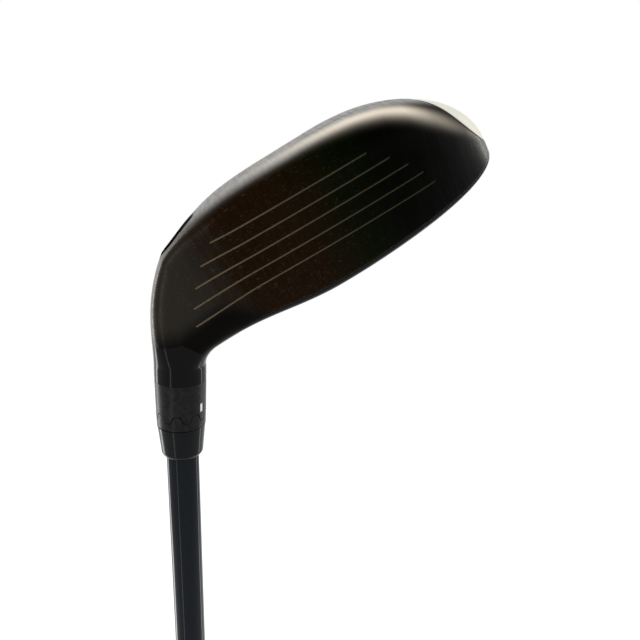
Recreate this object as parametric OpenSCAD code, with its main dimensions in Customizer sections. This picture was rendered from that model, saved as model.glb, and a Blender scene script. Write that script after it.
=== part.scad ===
// Hybrid golf club with an adjustable hosel, millimetres.
// Frame: shaft along +Z from the grip to the head, origin at the butt end of the grip,
// face looks toward -Y, toe toward +X. The club stands on its grip with the head up.

/* [Club] */
// Length from the butt to the ground plane under the heel, along the shaft
club_len = 1003; // [940:1:1060]
// Lie angle in degrees
lie = 59; // [56:0.5:62]
// Loft angle in degrees
loft = 21; // [17:0.5:27]
// Tilt of the sleeve bore to the hosel axis in degrees
bore_tilt = 1; // [0:0.25:1.25]

/* [Head] */
// Toe reach from the hosel axis at the ground
toe_reach = 86.4; // [80:0.2:96]
// Depth of the head, face to rear edge
head_depth = 61; // [52:0.5:68]
// Height of the crown above the ground at the middle
head_height = 42.2; // [38:0.1:48]
// Face progression, leading edge in front of the hosel axis
progression = 15; // [11:0.1:17]
// Bulge radius of the face
bulge = 300; // [240:5:400]
// Thickness of the face plate
face_t = 2.1; // [1.8:0.1:2.6]
// Thickness of the sole and skirt
body_t = 1.4; // [1.2:0.1:1.8]
// Thickness of the crown
crown_t = 0.9; // [0.7:0.1:1.2]
// Number of score lines
line_n = 5; // [3:1:7]
// Width of a score line
line_w = 0.55; // [0.5:0.05:0.9]
// Depth of a score line
line_d = 0.35; // [0.2:0.05:0.5]

/* [Hosel] */
// Outer radius of the hosel neck
neck_r = 7.33; // [7:0.01:7.8]
// Distance from the ground to the top of the index collar, along the hosel axis
reach_c = 62.6; // [58:0.1:68]
// Distance from the index collar down to the end of the neck
ring_len = 13.8; // [12:0.1:16]
// Outer radius of the sleeve inside the hosel
sleeve_r = 5.4; // [5.3:0.01:5.5]
// Length of the sleeve inside the hosel
sleeve_len = 32; // [30:0.5:33]
// Teeth on the index ring
teeth = 8; // [6:1:10]
// Height of a tooth
tooth_h = 2.2; // [1.4:0.1:2.6]
// Gap between the two toothed edges
tooth_gap = 0.12; // [0.08:0.01:0.2]
// Radial clearance of the sleeve in the hosel
run_gap = 0.05; // [0.03:0.01:0.1]
// Length of the ferrule
ferrule_len = 9.6; // [7:0.1:20]

/* [Shaft and grip] */
// Radius of the parallel tip of the shaft
tip_r = 4.7; // [4.3:0.05:4.75]
// Radius of the butt of the shaft
butt_r = 7.6; // [7.3:0.05:7.9]
// Wall of the shaft at the butt
shaft_wall = 1.3; // [1:0.05:1.6]
// Length of the grip
grip_len = 268; // [240:1:290]
// Radius of the grip at the butt
grip_r = 13.4; // [12.6:0.1:14.2]
// Radius of the grip at its mouth
mouth_r = 8.3; // [8.1:0.1:9]

/* [Weight and bolt] */
// Radius of the sole weight
weight_r = 7.5; // [6.5:0.1:8]
// Thickness of the sole weight
weight_t = 5; // [4:0.1:6]
// Nominal radius of both screws
screw_r = 2.5; // [2.4:0.05:2.6]
// Thread pitch of both screws
pitch = 0.8; // [0.7:0.05:1]

/* [Hidden] */
$fn = 64;

// ---- derived sizes ----
z_c = club_len - reach_c;         // collar centre on the shaft axis
s_a = reach_c - ring_len;         // end of the neck, from the ground
s_b = s_a - 4.7;                  // start of the bend of the neck
fillet_r = 7;                     // inner fillet between neck and crown
tan_l = tan(loft);
rear_y = progression - head_depth;
toe_z = 31.1;
toe_y = -13;
heel_z = 8.9;
sole_z = 1.0;
e_x = sin(lie);
e_z = cos(lie);
b_x = -cos(lie) * s_b;
b_z = sin(lie) * s_b;
q_x = b_x + (neck_r + fillet_r) * e_x;
q_z = b_z + (neck_r + fillet_r) * e_z;
top_q = q_z - fillet_r;
deep_x = 38;

// ---- head surface ----
function cl(x, a, b) = min(max(x, a), b);
function sm(t) = let(q = cl(t, 0, 1)) q * q * (3 - 2 * q);
function sg(x) = x < 0 ? -1 : 1;
function pw(x, n) = sg(x) * pow(abs(x), n);
// half depth of the rear outline at the heel end
function heel_rear(x) = -9 + (rear_y + 9) * pow(1 - pow(cl((deep_x - x) / (deep_x - q_x + 3), 0, 1), 2.2), 0.75);

// one section: [x, phi, neck shift, 16 control points (y, z)]
function section(tau) =
  let(
    bend = cl(tau, 0, 1), run = cl(tau - 1, 0, 1), neck = cl(-tau, 0, 1), isb = tau > 1,
    x = q_x + (toe_reach - q_x) * sin(run * 90),
    t = cl((x - q_x) / (34 - q_x), 0, 1),
    xi = cl((x - 30) / (toe_reach - 30), 0, 1),
    w0 = fillet_r + 2 * neck_r,
    w_out = w0 + (q_z - heel_z - w0) * pow(bend, 2),
    zs = sole_z + 0.8 * sm((60 - x) / 35),
    zb1 = zs + (heel_z - zs) * pow(1 - t, 3.3),
    zb2 = toe_z - (toe_z - zb1) * pow(1 - pow(xi, 3.2), 0.6),
    zt1 = top_q + (head_height - top_q) * sm((x - q_x) / (28.4 - q_x)),
    zt2 = toe_z + (zt1 - toe_z) * pow(1 - pow(xi, 1.8), 0.43),
    zb = isb ? zb2 : q_z - w_out,
    zt = isb ? zt2 : top_q,
    h = zt - zb,
    fb = cl((x - deep_x) / (toe_reach - deep_x), 0, 1),
    yb0 = x > deep_x ? toe_y + (rear_y - toe_y) * pow(1 - pow(fb, 2.4), 0.55) : heel_rear(x),
    yb = isb ? yb0 : -neck_r + (heel_rear(q_x) + neck_r) * bend * bend,
    xf = cl((x - 35) / (toe_reach - 35), 0, 1),
    ef = sqrt(1 - pow(xf, 5.5)),
    bul = pow(x - 26.7, 2) / (2 * bulge),
    yf = function(z) toe_y + (progression - (z - 2) * tan_l - bul - toe_y) * ef,
    yt = yf(zt), dt = yb - yt, yl = yf(zb + 3), dl = yb - yl, zte = zb + 0.36 * h,
    prof = [
      [yf(zb + 0.30 * h), zb + 0.30 * h], [yf(zb + 0.48 * h), zb + 0.48 * h],
      [yf(zb + 0.66 * h), zb + 0.66 * h], [yf(zb + 0.84 * h), zb + 0.84 * h],
      [yf(zb + 0.96 * h), zb + 0.96 * h], [yt - 0.2, zt + 0.2],
      [yt + 0.07 * dt, zt + 0.02 * h], [yt + 0.38 * dt, zt + 0.05 * h],
      [yt + 0.74 * dt, zt - 0.13 * h], [yt + 0.97 * dt, zte + 0.16 * h],
      [yb + 0.02 * dt, zte - 0.05 * h], [yl + 0.80 * dl, zb + 0.07 * h],
      [yl + 0.48 * dl, zb - 0.01 * h], [yl + 0.22 * dl, zb - 0.01 * h],
      [yl - 1.6 * ef, zb + 0.01 * h], [yl + 0.4 * ef, zb + 0.11 * h]],
    cc = 3 / (2 + cos(22.5)),
    ex = 2 / (2 + 2.4 * bend),
    ry = neck_r * (1 + 0.06 * bend),
    bw = sm((bend * 9 + (x - q_x) - 4) / 27),
    ctrl = [for (k = [0:15]) let(th = (k - 1.5) * 22.5) [
      cc * ry * pw(cos(th), ex) * (1 - bw) + prof[k][0] * bw,
      ((zt + zb) / 2 + cc * h / 2 * pw(sin(th), ex)) * (1 - bw) + prof[k][1] * bw]])
  [x, lie * (1 - bend), neck * (s_a - s_b), ctrl, isb];

// point of a section at profile position v (0 to 16), closed cubic B-spline
function on_section(s, v) =
  let(
    i = floor(v), t = v - i, u = 1 - t,
    b = [u * u * u / 6, (3 * t * t * t - 6 * t * t + 4) / 6,
      (-3 * t * t * t + 3 * t * t + 3 * t + 1) / 6, t * t * t / 6],
    p = [for (k = [0:3]) s[3][(i + k + 15) % 16]],
    y = b[0] * p[0][0] + b[1] * p[1][0] + b[2] * p[2][0] + b[3] * p[3][0],
    z = b[0] * p[0][1] + b[1] * p[1][1] + b[2] * p[2][1] + b[3] * p[3][1],
    w = q_z - z)
  [(s[4] ? s[0] : q_x - w * sin(s[1])) - cos(lie) * s[2], y,
   (s[4] ? z : q_z - w * cos(s[1])) + sin(lie) * s[2]];

// rows along the head and the seams across it
neck_n = 2;
bend_n = 8;
run_n = 24;
rows = [for (i = [0:neck_n - 1]) -1 + i / neck_n, for (i = [0:bend_n - 1]) i / bend_n,
  for (i = [0:run_n - 1]) 1 + i / run_n];
row_n = len(rows);
run_0 = neck_n + bend_n;          // first row past the bend
cup_0 = neck_n + 4;               // first row of the face cup
crown_0 = neck_n + bend_n + 1;    // first row of the crown
cup_1 = row_n - 3;                // last row of the face cup
v_top = 4.2;                      // seam between face and crown
v_rear = 9.6;                     // seam between crown and skirt
n_crown = 16;
n_sole = 12;
n_face = 24;
col_n = n_crown + n_sole + n_face;
function v_edge(x) = 13 + 1.8 * (1 - sm((x - 5) / 18)) + 2.85 * pow(max(x + 18.9 - toe_reach, 0) / 12, 0.75);
function v_at(j, x) =
  j < n_crown ? v_top + (v_rear - v_top) * j / n_crown
  : j < n_crown + n_sole ? v_rear + (v_edge(x) - v_rear) * (j - n_crown) / n_sole
  : v_edge(x) + (v_top + 16 - v_edge(x)) * (j - n_crown - n_sole) / n_face;
skin = [for (tau = rows) let(s = section(tau), x = tau > 1 ? s[0] : 0)
  [for (j = [0:col_n - 1]) on_section(s, v_at(j, x) % 16)]];
tip = [toe_reach, toe_y, toe_z];
function at(i, j) = i >= row_n ? tip : skin[max(i, 0)][(j + col_n) % col_n];
function unit(a) = a / norm(a);
normal = [for (i = [0:row_n - 1]) [for (j = [0:col_n - 1])
  unit(cross(at(i, j + 1) - at(i, j - 1), at(i + 1, j) - at(i - 1, j)))]];

// closed piece of the skin from depth d0 to depth d1(i) on the cells where on(i, j) holds
module skin_piece(d0, d1, on) {
  o = function(i, j) i >= row_n ? 2 * row_n * col_n : i * col_n + (j + col_n) % col_n;
  n = function(i, j) i >= row_n ? 2 * row_n * col_n + 1 : row_n * col_n + i * col_n + (j + col_n) % col_n;
  cell = function(i, j) i >= 0 && i < row_n && on(i, (j + col_n) % col_n);
  pts = concat(
    [for (i = [0:row_n - 1]) for (j = [0:col_n - 1]) skin[i][j] - d0 * normal[i][j]],
    [for (i = [0:row_n - 1]) for (j = [0:col_n - 1]) skin[i][j] - d1(i) * normal[i][j]],
    [tip - [d0, 0, 0], tip - [d1(row_n - 1), 0, 0]]);
  tris = [for (i = [0:row_n - 1]) for (j = [0:col_n - 1]) if (cell(i, j)) each concat(
    i == row_n - 1
      ? [[o(i, j), o(i, j + 1), o(i + 1, j)], [n(i, j + 1), n(i, j), n(i + 1, j)]]
      : [[o(i, j), o(i, j + 1), o(i + 1, j + 1)], [o(i, j), o(i + 1, j + 1), o(i + 1, j)],
         [n(i, j + 1), n(i, j), n(i + 1, j + 1)], [n(i, j), n(i + 1, j), n(i + 1, j + 1)]],
    cell(i, j - 1) ? []
      : [[o(i + 1, j), n(i, j), o(i, j)], [o(i + 1, j), n(i + 1, j), n(i, j)]],
    cell(i, j + 1) ? []
      : [[n(i, j + 1), o(i + 1, j + 1), o(i, j + 1)], [n(i, j + 1), n(i + 1, j + 1), o(i + 1, j + 1)]],
    cell(i - 1, j) ? []
      : [[o(i, j), n(i, j), o(i, j + 1)], [n(i, j), n(i, j + 1), o(i, j + 1)]],
    i == row_n - 1 || cell(i + 1, j) ? []
      : [[o(i + 1, j), o(i + 1, j + 1), n(i + 1, j)], [n(i + 1, j), o(i + 1, j + 1), n(i + 1, j + 1)]])];
  polyhedron(pts, [for (t = tris) [t[0], t[2], t[1]]]);
}

// whole head as a solid, its surface d inside the skin, on every second column
module head_solid(d) {
  m = col_n / 2;
  pts = concat([for (i = [0:row_n - 1]) for (j = [0:m - 1]) skin[i][2 * j] - d * normal[i][2 * j]],
    [tip - [d, 0, 0], [-cos(lie) * s_a, 0, sin(lie) * s_a]]);
  o = function(i, j) i >= row_n ? row_n * m : i * m + j % m;
  tris = [for (i = [0:row_n - 1]) for (j = [0:m - 1]) each
    i == row_n - 1 ? [[o(i, j), o(i + 1, j), o(i, j + 1)]]
      : [[o(i, j), o(i + 1, j + 1), o(i, j + 1)], [o(i, j), o(i + 1, j), o(i + 1, j + 1)]]];
  lid = [for (j = [0:m - 1]) [o(0, j + 1), row_n * m + 1, o(0, j)]];
  polyhedron(pts, concat(tris, lid));
}

is_cup = function(i, j) i >= cup_0 && i < cup_1 && j >= n_crown + n_sole;
is_crown = function(i, j) i >= crown_0 && j < n_crown;
is_body = function(i, j) !is_cup(i, j) && !is_crown(i, j);
is_pad = function(i, j) i >= run_0 + 5 && i < run_0 + 14 && j >= n_crown + n_sole - 2 && j < n_crown + n_sole;

// ---- frames ----
// hosel frame: origin at the collar centre, +Z along the hosel axis into the head
module hosel() {
  translate([0, 0, z_c]) rotate([0, bore_tilt, 0]) children();
}
// address frame: Z up from the ground, X to the toe, Y to the target, origin under the hosel axis
module address() {
  hosel() multmatrix([[sin(lie), 0, cos(lie), 0], [0, -1, 0, 0],
    [cos(lie), 0, -sin(lie), reach_c], [0, 0, 0, 1]]) children();
}

// ---- hosel stack, distances along the hosel axis from the collar ----
wave_top = 3.6 + tooth_h / 2;
wave_bot = 3.6 - tooth_h / 2;
bore_r = sleeve_r + run_gap;
seat_z = sleeve_len + 1;          // shoulder above the bolt washer
seat_t = 3;
washer_t = 0.8;
seat_gap = 0.02;                  // between faces of two bodies that rest on each other
bolt_z = seat_z + seat_t + washer_t + 2 * seat_gap;
bolt_head_r = 4.2;
bolt_head_h = 4.2;
port_r = 4.9;
engage = 7;
shaft_in = 23.5;
ring_r0 = 7.0;
ring_r1 = 7.12;

// rounded star socket
module star(r, h) {
  union() {
    cylinder(r = r * 0.78, h = h);
    for (k = [0:5]) rotate(60 * k) translate([r * 0.72, 0, 0]) cylinder(r = r * 0.28, h = h, $fn = 24);
  }
}

// radial prisms that cut the toothed edge; up = 1 opens toward -Z
module notches(base, up) {
  half = 7.05 * sin(90 / teeth) + tooth_gap / 2;
  f = 0.7;
  m = 6;
  xs = [for (k = [0:m]) -half - f + 2 * f * k / m];
  pts = concat([for (x = xs) [x, base + up * tooth_h * sm((half + f + x) / (2 * f))]],
    [for (k = [m:-1:0]) [-xs[k], base + up * tooth_h * sm((half + f + xs[k]) / (2 * f))]],
    [[half + f, base - up * 1], [-half - f, base - up * 1]]);
  for (k = [0:teeth - 1]) rotate(360 / teeth * (k + (up > 0 ? 0.5 : 0)) + 13.5)
    translate([0, 4, 0]) rotate([90, 0, 180]) linear_extrude(height = 5) polygon(pts);
}

weight_x = 36;
weight_y = -24;
weight_a = -10;                   // tilt of the weight port about X
weight_z = 3.55;                  // outer face of the weight
module weight_port() {
  address() translate([weight_x, weight_y, weight_z]) rotate([weight_a, 0, 0]) children();
}

module head_body() color("gainsboro") {
  difference() {
    address() skin_piece(0, function(i) body_t, is_body);
    hosel() translate([0, 0, seat_z + seat_t]) cylinder(r = port_r, h = 30);
    weight_port() translate([0, 0, -4]) cylinder(r = weight_r + 0.1, h = 8);
  }
}

// inner tube of the hosel: bore for the sleeve, shoulder for the bolt, port to the sole
tube_r = neck_r - body_t - 0.03;
module hosel_tube() color("darkgray") {
  difference() {
    intersection() {
      address() head_solid(body_t + 0.02);
      hosel() union() {
        translate([0, 0, ring_len - 1]) cylinder(r = tube_r, h = seat_z + seat_t - ring_len + 1);
        translate([0, 0, seat_z]) cylinder(r = port_r + 0.8, h = 30);
      }
    }
    hosel() translate([0, 0, ring_len - 2]) cylinder(r = bore_r, h = seat_z - ring_len + 2);
    hosel() translate([0, 0, seat_z - 1]) cylinder(r = screw_r + 0.25, h = seat_t + 2);
    hosel() translate([0, 0, seat_z + seat_t]) cylinder(r = port_r, h = 34);
  }
}

// cup that holds the sole weight, with the tapped boss behind it
module weight_cup() color("darkgray") {
  difference() {
    intersection() {
      address() head_solid(body_t + 0.02);
      weight_port() union() {
        translate([0, 0, -3]) cylinder(r = weight_r + 1.3, h = 3 + weight_t + 1.2);
        translate([0, 0, weight_t]) cylinder(r = 4.5, h = 4.6);
      }
    }
    weight_port() translate([0, 0, -4]) cylinder(r = weight_r + 0.1, h = 4 + weight_t + 0.05);
    weight_port() translate([0, 0, 1]) cylinder(r = screw_r + 0.06, h = weight_t + 2.9);
  }
}

// face plate thickness at a row: thin where it passes the hosel tube
function cup_t(i) = let(x = section(rows[i])[0]) body_t + (face_t - body_t) * sm((x - 6) / 16);

// height of the face at section s is z: profile position by bisection
function v_of(s, z, lo, hi, n) = let(m = (lo + hi) / 2)
  n == 0 ? m : on_section(s, (m + 16) % 16)[2] < z ? v_of(s, z, m, hi, n - 1) : v_of(s, z, lo, m, n - 1);

// cutter of one score line, following the face at height z from x0 to x1
module score_line(z, x0, x1) {
  m = 16;
  hw = line_w / 2;
  q = [for (k = [0:m]) let(
    x = x0 + (x1 - x0) * k / m,
    s = section(1 + asin((x - q_x) / (toe_reach - q_x)) / 90),
    p = on_section(s, (v_of(s, z, -1, 4.4, 22) + 16) % 16),
    n = [0, cos(loft), sin(loft)], t = [0, -sin(loft), cos(loft)])
    each [p - line_d * n - hw * t, p - line_d * n + hw * t, p + n + hw * t, p + n - hw * t]];
  side = [for (k = [0:m - 1]) for (j = [0:3]) let(a = 4 * k + j, b = 4 * k + (j + 1) % 4)
    each [[a, b, b + 4], [a, b + 4, a + 4]]];
  polyhedron(q, concat(side, [[0, 2, 1], [0, 3, 2], [4 * m, 4 * m + 1, 4 * m + 2], [4 * m, 4 * m + 2, 4 * m + 3]]));
}

module face_cup() color("dimgray") {
  address() difference() {
    skin_piece(0, function(i) cup_t(i), is_cup);
    for (k = [0:line_n - 1])
      let(span = 76.7 - 3.2 * k - 1.1 * k * k, xm = 26.2 - 0.2 * k + 0.045 * k * k)
      score_line(29.2 - 4.5 * k, xm - span / 2, xm + span / 2);
  }
}

module crown() color("black") {
  address() skin_piece(0, function(i) crown_t, is_crown);
}

module weight_pad() color("slategray") {
  address() skin_piece(body_t + 0.02, function(i) body_t + 6, is_pad);
}

module index_ring() color("dimgray") {
  hosel() difference() {
    translate([0, 0, wave_bot]) cylinder(r1 = ring_r1, r2 = neck_r, h = ring_len - wave_bot);
    translate([0, 0, wave_bot - 1]) cylinder(r = bore_r, h = ring_len);
    notches(wave_bot, 1);
    rotate(-36) translate([ring_r1 - 0.15, -0.4, 5.0]) cube([2, 0.8, 3.4]);
  }
}

module bolt_washer() color("silver") {
  hosel() translate([0, 0, seat_z + seat_t + seat_gap]) difference() {
    cylinder(r = port_r - 0.15, h = washer_t);
    translate([0, 0, -1]) cylinder(r = screw_r + 0.1, h = washer_t + 2);
  }
}

module hosel_bolt() color("gray") {
  hosel() translate([0, 0, bolt_z]) difference() {
    union() {
      rotate_extrude() polygon([[0, 0], [bolt_head_r - 0.3, 0], [bolt_head_r, 0.3],
        [bolt_head_r, bolt_head_h - 0.4], [bolt_head_r - 0.4, bolt_head_h], [0, bolt_head_h]]);
      translate([0, 0, -washer_t - seat_t - 1 - engage])
        rotate_extrude() polygon([[0, 0], [screw_r - 0.5, 0], [screw_r, 0.5],
          [screw_r, washer_t + seat_t + 1 + engage + 0.2], [0, washer_t + seat_t + 1 + engage + 0.2]]);
    }
    translate([0, 0, bolt_head_h - 2.6]) star(2.5, 4);
  }
}

module sole_weight() color("silver") {
  weight_port() difference() {
    rotate_extrude() polygon([[0, 0], [weight_r - 0.5, 0], [weight_r, 0.5], [weight_r, weight_t], [0, weight_t]]);
    translate([0, 0, -1]) cylinder(r = screw_r + 0.1, h = weight_t + 2);
    translate([0, 0, -1]) cylinder(r = 4.3, h = 1 + 2.7);
  }
}

module weight_screw() color("gray") {
  weight_port() translate([0, 0, 2.7]) difference() {
    union() {
      translate([0, 0, -2.5]) rotate_extrude() polygon([[0, 0], [3.7, 0], [4.1, 0.4], [4.1, 2.5 - seat_gap], [0, 2.5 - seat_gap]]);
      translate([0, 0, -0.1]) cylinder(r = screw_r, h = weight_t + 1.2);
    }
    translate([0, 0, -3]) star(2.2, 2.3);
  }
}

module sleeve() color("dimgray") {
  difference() {
    hosel() union() {
      cylinder(r = sleeve_r, h = sleeve_len);
      difference() {
        cylinder(r1 = ring_r0, r2 = ring_r1, h = wave_top - tooth_gap);
        notches(wave_top - tooth_gap, -1);
      }
    }
    translate([0, 0, z_c - 3]) cylinder(r = tip_r + 0.04, h = shaft_in + 3);
    hosel() translate([0, 0, sleeve_len - engage - 0.3]) cylinder(r = screw_r + 0.04, h = engage + 2);
  }
}

module ferrule() color("black") {
  translate([0, 0, z_c - 0.14 - ferrule_len]) rotate_extrude() polygon(concat(
    [[tip_r + 0.04, 0]],
    [for (k = [0:6]) [tip_r + 0.25 + 1.15 * sin(15 * k), 1.6 * (1 - cos(15 * k))]],
    [[ring_r0 - 0.03, ferrule_len], [tip_r + 0.04, ferrule_len]]));
}

// outer radius of the shaft at height z
tip_z0 = z_c - 75;
function shaft_r(z) = butt_r - (butt_r - tip_r) * cl((z - 60) / (tip_z0 - 60), 0, 1);
shaft_top = z_c + shaft_in - 0.1;
butt_z = 3;
tip_in = 2.8;
module shaft() color("black") {
  rotate_extrude() polygon([
    [butt_r - shaft_wall, butt_z], [butt_r, butt_z], [butt_r, 60], [tip_r, tip_z0],
    [tip_r, shaft_top - 0.6], [tip_r - 0.4, shaft_top], [tip_in, shaft_top],
    [tip_in, tip_z0], [butt_r - shaft_wall, 60]]);
}

module tip_plug() color("peru") {
  translate([0, 0, shaft_top - 7]) cylinder(r = tip_in - 0.03, h = 6.5);
}

tape_t = 0.15;
module grip_tape() color("tan") {
  rotate_extrude() polygon([
    [butt_r + 0.02, butt_z + 0.5], [butt_r + 0.02 + tape_t, butt_z + 0.5], [butt_r + 0.02 + tape_t, 60],
    [shaft_r(grip_len - 14) + 0.02 + tape_t, grip_len - 14], [shaft_r(grip_len - 14) + 0.02, grip_len - 14],
    [butt_r + 0.02, 60]]);
}

cap_t = 2.5;
function grip_out(z) = let(t = (z - cap_t) / (grip_len - cap_t))
  mouth_r + (grip_r - mouth_r) * pow(1 - t, 1.35) + 0.25 * sin(180 * t);
module grip() color("#222222") {
  skin_gap = 0.04;
  rotate_extrude() polygon(concat(
    [[butt_r + tape_t + skin_gap, cap_t + 0.02]],
    [for (k = [0:30]) let(z = cap_t + 0.02 + (grip_len - cap_t - 22) * k / 30) [grip_out(z), z]],
    [for (k = [0:5]) let(z = grip_len - 19 + 3 * k)
      each [[grip_out(z), z], [grip_out(z) - 0.35, z + 0.3], [grip_out(z) - 0.35, z + 1], [grip_out(z), z + 1.3]]],
    [[mouth_r, grip_len - 1], [mouth_r - 0.6, grip_len], [shaft_r(grip_len) + 0.04, grip_len],
     [shaft_r(grip_len - 13.5) + 0.04, grip_len - 13.5],
     [shaft_r(grip_len - 13.5) + tape_t + skin_gap, grip_len - 13.5], [butt_r + tape_t + skin_gap, 60]]));
}

module grip_cap() color("#222222") {
  difference() {
    rotate_extrude() polygon([[0, 0], [grip_r - 1.2, 0], [grip_r - 0.4, 0.35], [grip_r, 1.2], [grip_r, cap_t],
      [butt_r - shaft_wall - 0.04, cap_t], [butt_r - shaft_wall - 0.04, 9], [butt_r - shaft_wall - 0.6, 9.6],
      [3, 9.6], [3, 4], [0, 4]]);
    translate([0, 0, -1]) cylinder(r = 1.3, h = 8);
  }
}

head_body();
hosel_tube();
weight_cup();
face_cup();
crown();
weight_pad();
index_ring();
bolt_washer();
hosel_bolt();
sole_weight();
weight_screw();
sleeve();
ferrule();
shaft();
tip_plug();
grip_tape();
grip();
grip_cap();
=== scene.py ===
"""Hybrid golf club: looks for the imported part, in its own frame.

Frame: metres, shaft along +Z from the butt of the grip (origin) to the head, face toward -Y,
toe toward +X.  The head's skin is one surface of two parameters, the same as in the part's
source; body, face cup and crown are cut from it along shared seams.
"""
import math

import bpy
import numpy as np
from mathutils import Matrix, Vector


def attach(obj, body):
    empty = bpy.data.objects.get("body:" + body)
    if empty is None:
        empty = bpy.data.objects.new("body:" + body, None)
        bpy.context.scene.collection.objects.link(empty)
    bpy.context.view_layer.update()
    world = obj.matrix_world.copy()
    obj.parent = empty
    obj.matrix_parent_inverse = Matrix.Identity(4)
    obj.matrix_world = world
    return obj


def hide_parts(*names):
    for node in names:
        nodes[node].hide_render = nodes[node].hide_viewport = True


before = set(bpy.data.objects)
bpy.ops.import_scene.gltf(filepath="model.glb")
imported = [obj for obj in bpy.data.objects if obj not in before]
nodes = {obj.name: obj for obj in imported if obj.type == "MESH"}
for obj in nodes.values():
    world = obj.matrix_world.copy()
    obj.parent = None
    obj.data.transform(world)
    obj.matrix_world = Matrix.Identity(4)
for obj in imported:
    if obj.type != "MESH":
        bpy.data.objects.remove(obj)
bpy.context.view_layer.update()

MM = 0.001
rad = math.radians

# ---- driving sizes, millimetres and degrees, as in the part ----
CLUB_LEN, LIE, LOFT, BORE_TILT = 1003.0, 59.0, 21.0, 1.0
REACH, RING_LEN, NECK_R, FILLET_R = 62.6, 13.8, 7.33, 7.0
TOE, TOE_Y, TOE_Z = 86.4, -13.0, 31.1
DEPTH, HEIGHT, FRONT, BULGE = 61.0, 42.2, 15.0, 300.0
HEEL_Z, SOLE_Z, DEEP_X = 8.9, 1.0, 38.0
FACE_T, BODY_T, CROWN_T = 2.1, 1.4, 0.9
LINES, LINE_W, LINE_D = 5, 0.55, 0.35
TEETH, TOOTH_H, TOOTH_GAP, TOOTH_TURN = 8, 2.2, 0.12, 13.5
RING_R0, RING_R1, SLEEVE_R = 7.0, 7.12, 5.4
FERRULE_LEN, TIP_R, BUTT_R = 9.6, 4.7, 7.6
GRIP_LEN, GRIP_R, MOUTH_R, CAP_T = 268.0, 13.4, 8.3, 2.5
GLUE_GAP, RUN_GAP = 0.04, 0.05
BUTT_LEN, TIP_LEN, SHAFT_WALL = 60, 75, 1.3

# ---- derived ----
Z_C = CLUB_LEN - REACH
S_A = REACH - RING_LEN
S_B = S_A - 4.7
REAR_Y = FRONT - DEPTH
AXIS = np.array([-math.cos(rad(LIE)), 0.0, math.sin(rad(LIE))])
ACROSS = np.array([math.sin(rad(LIE)), 0.0, math.cos(rad(LIE))])
PIVOT = S_B * AXIS + (NECK_R + FILLET_R) * ACROSS
TOP_Q = PIVOT[2] - FILLET_R
V_TOP, V_REAR = 4.2, 9.6
TAU_CUP, TAU_CUP_END, TAU_CROWN = 0.5, 1 + 21 / 24, 1 + 1 / 24

# hosel frame (collar centre, axis into the head) and address frame, as matrices into the part
TILT = np.array([[math.cos(rad(BORE_TILT)), 0, math.sin(rad(BORE_TILT))], [0, 1, 0],
                 [-math.sin(rad(BORE_TILT)), 0, math.cos(rad(BORE_TILT))]])
FLIP = np.array([[math.sin(rad(LIE)), 0, math.cos(rad(LIE))], [0, -1, 0],
                 [math.cos(rad(LIE)), 0, -math.sin(rad(LIE))]])


def from_hosel(p):
    """Hosel frame, millimetres, to part frame, metres."""
    return (p @ TILT.T + [0, 0, Z_C]) * MM


def from_address(p):
    """Address frame (toe, target, up; millimetres) to part frame, metres."""
    return from_hosel(p @ FLIP.T + [0, 0, REACH])


def ease(t):
    """3t^2 - 2t^3 between 0 and 1."""
    t = np.clip(t, 0, 1)
    return t * t * (3 - 2 * t)


# ---- mesh helpers ----

def new_mesh(name, verts, faces, smooth=True):
    """One mesh object at the origin from a vertex array and face arrays of 3 or 4 columns."""
    mesh = bpy.data.meshes.new(name)
    faces = [f for f in faces if len(f)]
    used, back = np.unique(np.concatenate([f.ravel() for f in faces]), return_inverse=True)
    total = sum(len(f) for f in faces)
    sizes = np.concatenate([np.full(len(f), f.shape[1]) for f in faces])
    mesh.vertices.add(len(used))
    mesh.vertices.foreach_set("co", verts[used].astype(np.float32).ravel())
    mesh.loops.add(len(back))
    mesh.loops.foreach_set("vertex_index", back.astype(np.int32))
    mesh.polygons.add(total)
    mesh.polygons.foreach_set("loop_start", np.concatenate([[0], np.cumsum(sizes)[:-1]]).astype(np.int32))
    mesh.polygons.foreach_set("use_smooth", np.full(total, smooth))
    mesh.update(calc_edges=True)
    mesh.validate()
    obj = bpy.data.objects.new(name, mesh)
    bpy.context.scene.collection.objects.link(obj)
    return obj, used


def float_attribute(obj, name, values):
    """One number per vertex, read by a material."""
    a = obj.data.attributes.new(name, "FLOAT", "POINT")
    a.data.foreach_set("value", np.asarray(values, np.float32))


def vector_attribute(obj, name, values):
    """One vector per vertex, read by a material."""
    a = obj.data.attributes.new(name, "FLOAT_VECTOR", "POINT")
    a.data.foreach_set("vector", np.asarray(values, np.float32).ravel())


def turned(name, profile, turns=128, to_part=None):
    """Surface of revolution: the closed profile (r, z) at angle a gives (r cos a, r sin a, z)."""
    profile = np.asarray(profile, float)
    a = np.arange(turns) * 2 * math.pi / turns
    p = np.stack([np.outer(np.cos(a), profile[:, 0]), np.outer(np.sin(a), profile[:, 0]),
                  np.tile(profile[:, 1], (turns, 1))], -1)
    n, m = p.shape[:2]
    i, j = np.meshgrid(np.arange(n), np.arange(m), indexing="ij")
    i, j = i.ravel(), j.ravel()
    k, l = (i + 1) % n, (j + 1) % m
    quads = np.stack([i * m + j, k * m + j, k * m + l, i * m + l], 1)
    p = p.reshape(-1, 3)
    obj, _ = new_mesh(name, to_part(p) if to_part else p * MM, [quads])
    return obj


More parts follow.
